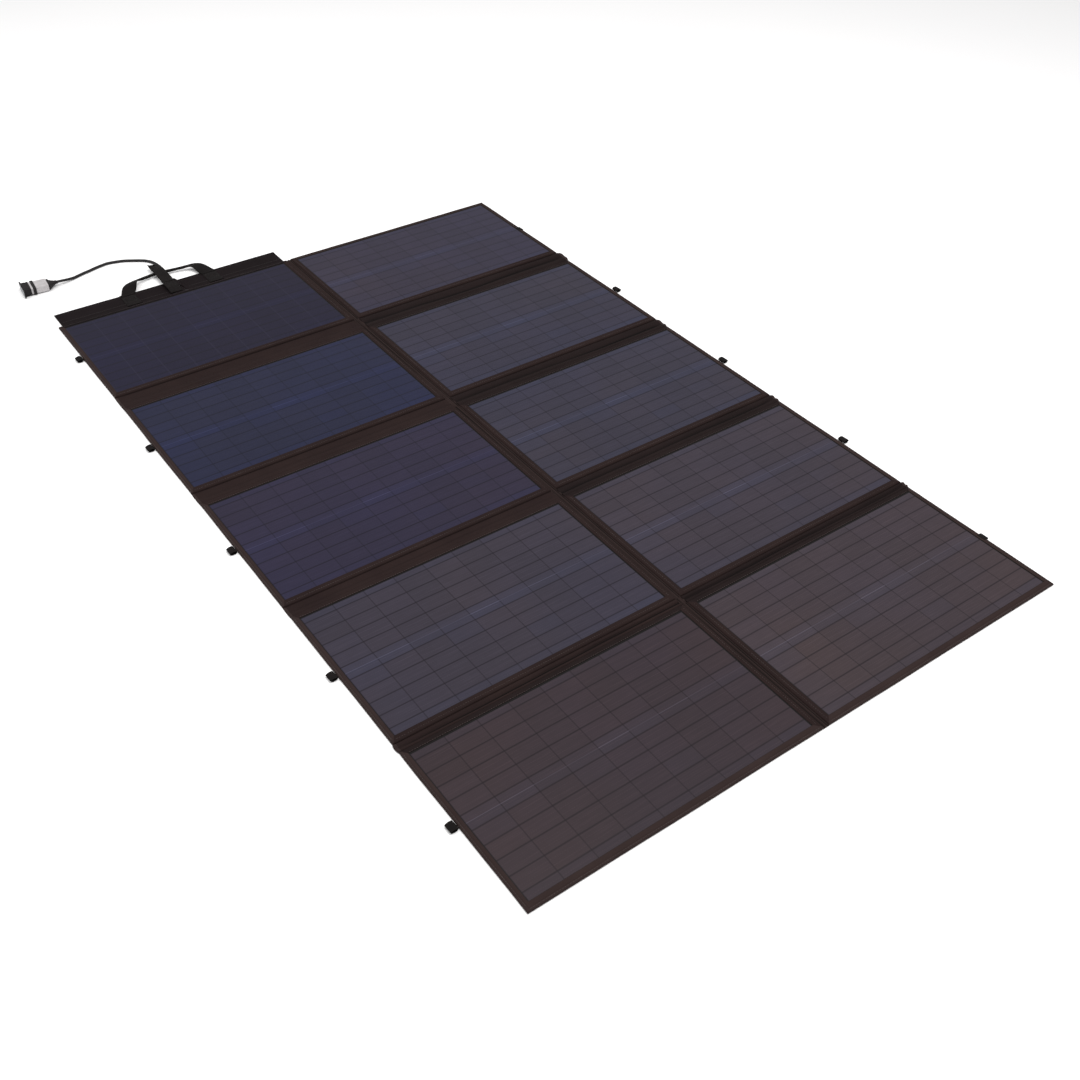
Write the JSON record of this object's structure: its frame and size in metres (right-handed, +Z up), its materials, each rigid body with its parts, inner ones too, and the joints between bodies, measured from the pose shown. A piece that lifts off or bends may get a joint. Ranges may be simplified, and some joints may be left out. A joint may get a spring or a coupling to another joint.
{
  "type": "folding solar panel",
  "caption": "Folding solar blanket laid open: rigid cell panels sewn into canvas, with fold strips, tie loops, a carry handle, a closing strap and a short lead with a capped connector.",
  "frame": {"origin": "on the ground, under the middle of the open blanket from row 5's outer edge to the strap's end, leaving out the lead and its connector", "axes": "+Y along the rows towards the carry handle, +X from the left column to the right one seen with the handle at the far end, +Z up out of the cells"},
  "size_m": [1.1956, 2.0822, 0.0198],
  "materials": {
    "canvas": "woven polyester canvas, matt",
    "board": "plain",
    "laminate": "satin laminate over dark silicon cells",
    "webbing": "woven webbing",
    "jacket": "smooth PVC jacket",
    "grey_plastic": "moulded",
    "plating": "silver plated copper",
    "black_rubber": "moulded",
    "potting": "potted"
  },
  "bodies": {
    "root": {"canvas_L1": "canvas", "board_L1": "board", "laminate_L1": "laminate", "tie_loop_L1": "webbing", "junction_block": "potting", "cable": "jacket", "cable_boot": "black_rubber", "connector_housing": "grey_plastic", "contact_pos": "plating", "contact_neg": "plating", "cover_band": "black_rubber"},
    "panel_L2": {"canvas_L2": "canvas", "board_L2": "board", "laminate_L2": "laminate", "tie_loop_L2": "webbing"},
    "panel_L3": {"canvas_L3": "canvas", "board_L3": "board", "laminate_L3": "laminate", "tie_loop_L3": "webbing"},
    "panel_L4": {"canvas_L4": "canvas", "board_L4": "board", "laminate_L4": "laminate", "tie_loop_L4": "webbing"},
    "panel_L5": {"canvas_L5": "canvas", "board_L5": "board", "laminate_L5": "laminate", "tie_loop_L5": "webbing"},
    "panel_R1": {"canvas_R1": "canvas", "board_R1": "board", "laminate_R1": "laminate", "tie_loop_R1": "webbing"},
    "panel_R2": {"canvas_R2": "canvas", "board_R2": "board", "laminate_R2": "laminate", "tie_loop_R2": "webbing"},
    "panel_R3": {"canvas_R3": "canvas", "board_R3": "board", "laminate_R3": "laminate", "tie_loop_R3": "webbing"},
    "panel_R4": {"canvas_R4": "canvas", "board_R4": "board", "laminate_R4": "laminate", "tie_loop_R4": "webbing"},
    "panel_R5": {"canvas_R5": "canvas", "board_R5": "board", "laminate_R5": "laminate", "tie_loop_R5": "webbing"},
    "strip_L1": {"gap_L1": "canvas"},
    "strip_R1": {"gap_R1": "canvas"},
    "strip_L2": {"gap_L2": "canvas"},
    "strip_R2": {"gap_R2": "canvas"},
    "strip_L3": {"gap_L3": "canvas"},
    "strip_R3": {"gap_R3": "canvas"},
    "strip_L4": {"gap_L4": "canvas"},
    "strip_R4": {"gap_R4": "canvas"},
    "flap": {"flap": "canvas"},
    "handle": {"handle": "webbing"},
    "strap": {"strap": "webbing"},
    "dust_cover": {"dust_cover": "black_rubber"}
  },
  "joints": [
    {"name": "row_fold_1", "type": "hinge", "parent": "root", "child": "strip_L1", "pos_m": [-0.29063, 0.50455, 0.0012], "axis": [-1, 0, 0], "range_deg": [0, 90]},
    {"name": "row_fold_1_far", "type": "hinge", "parent": "strip_L1", "child": "panel_L2", "pos_m": [-0.29063, 0.45755, 0.0012], "axis": [-1, 0, 0], "range_deg": [0, 90]},
    {"name": "row_fold_2", "type": "hinge", "parent": "panel_L2", "child": "strip_L2", "pos_m": [-0.29063, 0.11105, 0.0012], "axis": [-1, 0, 0], "range_deg": [0, 90]},
    {"name": "row_fold_2_far", "type": "hinge", "parent": "strip_L2", "child": "panel_L3", "pos_m": [-0.29063, 0.07405, 0.0012], "axis": [-1, 0, 0], "range_deg": [0, 90]},
    {"name": "row_fold_3", "type": "hinge", "parent": "panel_L3", "child": "strip_L3", "pos_m": [-0.29063, -0.27085, 0.0012], "axis": [-1, 0, 0], "range_deg": [0, 90]},
    {"name": "row_fold_3_far", "type": "hinge", "parent": "strip_L3", "child": "panel_L4", "pos_m": [-0.29063, -0.29785, 0.0012], "axis": [-1, 0, 0], "range_deg": [0, 90]},
    {"name": "row_fold_4", "type": "hinge", "parent": "panel_L4", "child": "strip_L4", "pos_m": [-0.29063, -0.64115, 0.0012], "axis": [-1, 0, 0], "range_deg": [0, 90]},
    {"name": "row_fold_4_far", "type": "hinge", "parent": "strip_L4", "child": "panel_L5", "pos_m": [-0.29063, -0.65815, 0.0012], "axis": [-1, 0, 0], "range_deg": [0, 90]},
    {"name": "column_fold", "type": "hinge", "parent": "root", "child": "panel_R1", "pos_m": [0, 0.6763, 0.0047], "axis": [0, -1, 0], "range_deg": [0, 180]},
    {"name": "column_fold_2", "type": "hinge", "parent": "panel_L2", "child": "panel_R2", "pos_m": [0, 0.2843, 0.0047], "axis": [0, -1, 0], "range_deg": [0, 180]},
    {"name": "column_fold_3", "type": "hinge", "parent": "panel_L3", "child": "panel_R3", "pos_m": [0, -0.0984, 0.0047], "axis": [0, -1, 0], "range_deg": [0, 180]},
    {"name": "column_fold_4", "type": "hinge", "parent": "panel_L4", "child": "panel_R4", "pos_m": [0, -0.4695, 0.0047], "axis": [0, -1, 0], "range_deg": [0, 180]},
    {"name": "column_fold_5", "type": "hinge", "parent": "panel_L5", "child": "panel_R5", "pos_m": [0, -0.8296, 0.0047], "axis": [0, -1, 0], "range_deg": [0, 180]},
    {"name": "strip_fold_1", "type": "hinge", "parent": "strip_L1", "child": "strip_R1", "pos_m": [0, 0.48105, 0.0047], "axis": [0, -1, 0], "range_deg": [0, 180], "deforming": ["gap_R1"]},
    {"name": "strip_fold_2", "type": "hinge", "parent": "strip_L2", "child": "strip_R2", "pos_m": [0, 0.09255, 0.0047], "axis": [0, -1, 0], "range_deg": [0, 180], "deforming": ["gap_R2"]},
    {"name": "strip_fold_3", "type": "hinge", "parent": "strip_L3", "child": "strip_R3", "pos_m": [0, -0.28435, 0.0047], "axis": [0, -1, 0], "range_deg": [0, 180], "deforming": ["gap_R3"]},
    {"name": "strip_fold_4", "type": "hinge", "parent": "strip_L4", "child": "strip_R4", "pos_m": [0, -0.64965, 0.0047], "axis": [0, -1, 0], "range_deg": [0, 180], "deforming": ["gap_R4"]},
    {"name": "flap_fold", "type": "hinge", "parent": "root", "child": "flap", "pos_m": [-0.2915, 0.8612, 0.0012], "axis": [1, 0, 0], "range_deg": [0, 90]},
    {"name": "handle_swing", "type": "hinge", "parent": "flap", "child": "handle", "pos_m": [-0.294, 0.90865, 0.0012], "axis": [1, 0, 0], "range_deg": [0, 45]},
    {"name": "strap_lift", "type": "hinge", "parent": "flap", "child": "strap", "pos_m": [-0.2925, 0.90885, 0.00805], "axis": [1, 0, 0], "range_deg": [0, 45]},
    {"name": "dust_cover_pull", "type": "slide", "parent": "root", "child": "dust_cover", "axis": [-0.9962, 0.0872, 0], "range_m": [0, 0.025]}
  ],
  "couplings": [
    {"joint": "column_fold_2", "follows": "column_fold", "ratio": 1},
    {"joint": "column_fold_3", "follows": "column_fold", "ratio": 1},
    {"joint": "column_fold_4", "follows": "column_fold", "ratio": 1},
    {"joint": "column_fold_5", "follows": "column_fold", "ratio": 1},
    {"joint": "strip_fold_1", "follows": "column_fold", "ratio": 1},
    {"joint": "strip_fold_2", "follows": "column_fold", "ratio": 1},
    {"joint": "strip_fold_3", "follows": "column_fold", "ratio": 1},
    {"joint": "strip_fold_4", "follows": "column_fold", "ratio": 1},
    {"joint": "strap_lift", "follows": "handle_swing", "ratio": 1}
  ]
}
